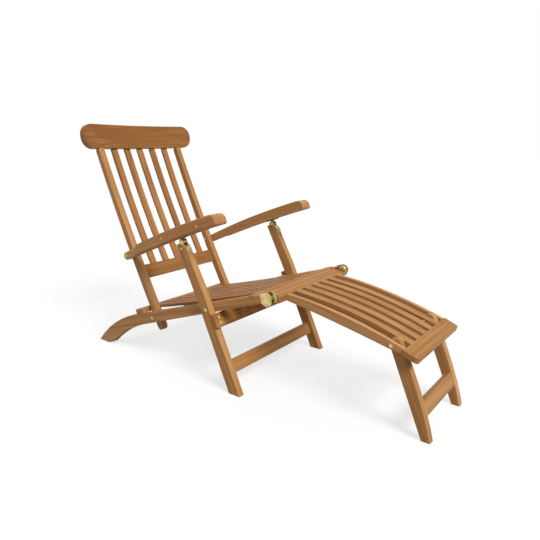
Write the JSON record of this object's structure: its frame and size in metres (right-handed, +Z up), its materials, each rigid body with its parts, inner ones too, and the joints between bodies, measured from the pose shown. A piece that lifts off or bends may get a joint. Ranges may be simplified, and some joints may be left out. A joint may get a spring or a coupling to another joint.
{
  "type": "steamer deck chair",
  "caption": "Folding teak steamer deck chair with swept seat rails, hinged slatted back, flat arms on leaning front legs and a crowned slatted footrest on its own legs.",
  "frame": {"origin": "on the ground, below the middle of the chair's length and width", "axes": "+X towards the sitter's feet, +Y to the sitter's left, +Z up"},
  "size_m": [1.5418, 0.597, 0.9718],
  "materials": {
    "teak": "oiled, satin",
    "teak_shaded": "oiled, satin",
    "brass": "polished"
  },
  "bodies": {
    "seat_frame": {"seat_rear_bar": "teak", "seat_front_bar": "teak", "seat_slat_1": "teak", "seat_slat_2": "teak", "seat_slat_3": "teak", "seat_slat_4": "teak", "seat_slat_5": "teak", "seat_slat_6": "teak", "seat_slat_7": "teak", "seat_rail_left": "teak", "knee_plate_left": "brass", "leg_stop_left": "brass", "stile_bolt_left": "brass", "leg_bolt_left": "brass", "knee_bolt_left": "brass", "seat_rail_right": "teak", "knee_plate_right": "brass", "leg_stop_right": "brass", "stile_bolt_right": "brass", "leg_bolt_right": "brass", "knee_bolt_right": "brass"},
    "backrest": {"head_rail": "teak", "lower_back_rail": "teak_shaded", "back_slat_1": "teak", "back_slat_2": "teak", "back_slat_3": "teak", "back_slat_4": "teak", "back_slat_5": "teak", "back_stile_left": "teak", "arm_bolt_left": "brass", "back_stile_right": "teak", "arm_bolt_right": "brass"},
    "armrests": {"armrest_left": "teak", "armrest_cheek_left": "teak", "arm_bracket_left": "brass", "armrest_right": "teak", "armrest_cheek_right": "teak", "arm_bracket_right": "brass"},
    "front_legs": {"seat_support_board": "teak", "leg_stretcher": "teak_shaded", "front_leg_left": "teak", "leg_top_strap_left": "brass", "front_leg_right": "teak", "leg_top_strap_right": "brass"},
    "footrest": {"knee_board": "teak", "footrest_end_bar": "teak", "footrest_slat_1": "teak", "footrest_slat_2": "teak", "footrest_slat_3": "teak", "footrest_slat_4": "teak", "footrest_slat_5": "teak", "footrest_rail_left": "teak", "knee_leaf_left": "brass", "footrest_leg_bolt_left": "brass", "footrest_rail_right": "teak", "knee_leaf_right": "brass", "footrest_leg_bolt_right": "brass"},
    "footrest_legs": {"footrest_stretcher": "teak_shaded", "footrest_leg_left": "teak", "footrest_leg_right": "teak"}
  },
  "joints": [
    {"name": "back_fold", "type": "hinge", "parent": "seat_frame", "child": "backrest", "pos_m": [-0.38284, 0, 0.18849], "axis": [0, 1, 0], "range_deg": [0, 47]},
    {"name": "arm_swing", "type": "hinge", "parent": "backrest", "child": "armrests", "pos_m": [-0.52182, 0, 0.43602], "axis": [0, 1, 0], "range_deg": [-47, 0]},
    {"name": "leg_fold", "type": "hinge", "parent": "seat_frame", "child": "front_legs", "pos_m": [-0.04138, 0, 0.30202], "axis": [0, 1, 0], "range_deg": [0, 50]},
    {"name": "footrest_fold", "type": "hinge", "parent": "seat_frame", "child": "footrest", "pos_m": [0.22812, 0, 0.39004], "axis": [0, 1, 0], "range_deg": [-184, 0]},
    {"name": "footrest_leg_fold", "type": "hinge", "parent": "footrest", "child": "footrest_legs", "pos_m": [0.63131, 0, 0.29565], "axis": [0, 1, 0], "range_deg": [0, 122]}
  ],
  "couplings": [
    {"joint": "arm_swing", "follows": "back_fold", "ratio": -0.98},
    {"joint": "leg_fold", "follows": "back_fold", "ratio": 1.03},
    {"joint": "footrest_leg_fold", "follows": "footrest_fold", "ratio": -0.65}
  ]
}
